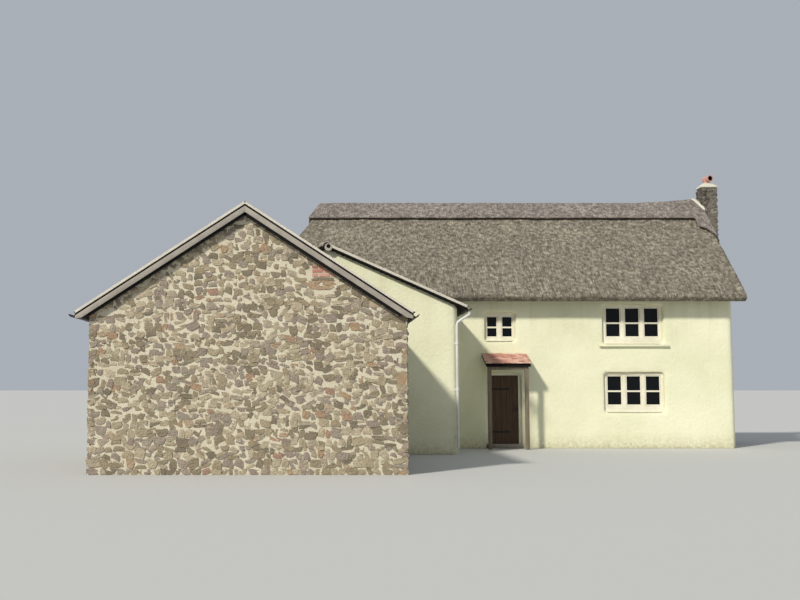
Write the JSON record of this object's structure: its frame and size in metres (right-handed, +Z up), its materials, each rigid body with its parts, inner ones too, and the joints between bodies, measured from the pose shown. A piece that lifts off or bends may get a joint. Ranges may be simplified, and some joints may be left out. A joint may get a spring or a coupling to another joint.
{
  "type": "thatched cottage with a rendered wing and a stone outbuilding",
  "caption": "Hollow cob cottage under a thatch roof with one hipped end, an end chimney stack, a tiled porch, a lower rendered gabled wing and a rubble-stone gabled outbuilding.",
  "frame": {"origin": "middle of the building's footprint box, at ground level", "axes": "+X along the house's front towards the chimney, +Y from the outbuilding at the front to the back of the house, +Z up"},
  "size_m": [16.8184, 14.6396, 8.078],
  "materials": {
    "limewash": "cream limewash on lumpy cob render, matte",
    "thatch": "weathered combed straw, grey-brown, matte",
    "thatch_ridge": "newer straw block ridge, slightly paler, matte",
    "rubble": "coursed rubble in tan, grey and red-brown with pale lime mortar",
    "mortar": "pale lime mortar, trowelled",
    "terracotta": "orange fired clay, unglazed",
    "slate": "grey slates, weathered, satin",
    "clay_tile": "red clay plain tiles, matte",
    "painted_wood": "cream-white oil paint on timber",
    "old_wood": "bare weathered grey boards",
    "door_wood": "dark stained planks",
    "window_glass": "clear window glass with dark rooms behind it",
    "stone_floor": "worn flagged floor",
    "floor_boards": "old floor boards, waxed",
    "dark_gutter": "dark gutter, satin",
    "white_pipe": "white rainwater pipe, satin"
  },
  "bodies": {
    "root": {"front_wall": "limewash", "front_wall_behind_wing": "limewash", "back_wall": "limewash", "left_end_wall": "limewash", "right_gable_wall": "limewash", "ground_floor": "stone_floor", "upper_floor": "floor_boards", "thatch_front_slope": "thatch", "thatch_back_slope": "thatch", "thatch_hip_end": "thatch", "thatch_ridge": "thatch_ridge", "chimney_stack": "rubble", "chimney_flaunching": "mortar", "chimney_pot": "terracotta", "upper_right_window_frame": "painted_wood", "upper_right_window_glass": "window_glass", "upper_right_window_ledge": "limewash", "upper_left_window_frame": "painted_wood", "upper_left_window_glass": "window_glass", "lower_right_window_frame": "painted_wood", "lower_right_window_glass": "window_glass", "back_upper_left_window_frame": "painted_wood", "back_upper_left_window_glass": "window_glass", "back_upper_right_window_frame": "painted_wood", "back_upper_right_window_glass": "window_glass", "back_lower_left_window_frame": "painted_wood", "back_lower_left_window_glass": "window_glass", "back_lower_right_window_frame": "painted_wood", "back_lower_right_window_glass": "window_glass", "front_door_frame": "painted_wood", "front_door_step": "rubble", "front_door": "door_wood", "porch_roof": "clay_tile", "porch_frame": "old_wood", "wing_gable_wall": "limewash", "wing_right_wall": "limewash", "wing_left_wall": "limewash", "wing_roof_right": "slate", "wing_roof_left": "slate", "wing_ridge_cap": "mortar", "wing_gutter": "dark_gutter", "wing_downpipe": "white_pipe", "barn_front_gable": "rubble", "barn_back_gable": "rubble", "barn_right_wall": "rubble", "barn_left_wall": "rubble", "barn_door_frame": "old_wood", "barn_door": "old_wood", "barn_roof_right": "slate", "barn_roof_left": "slate", "barn_ridge_cap": "slate", "barn_bargeboard_right": "old_wood", "barn_bargeboard_left": "old_wood", "barn_gutter_right": "dark_gutter", "barn_gutter_left": "dark_gutter"}
  },
  "joints": []
}
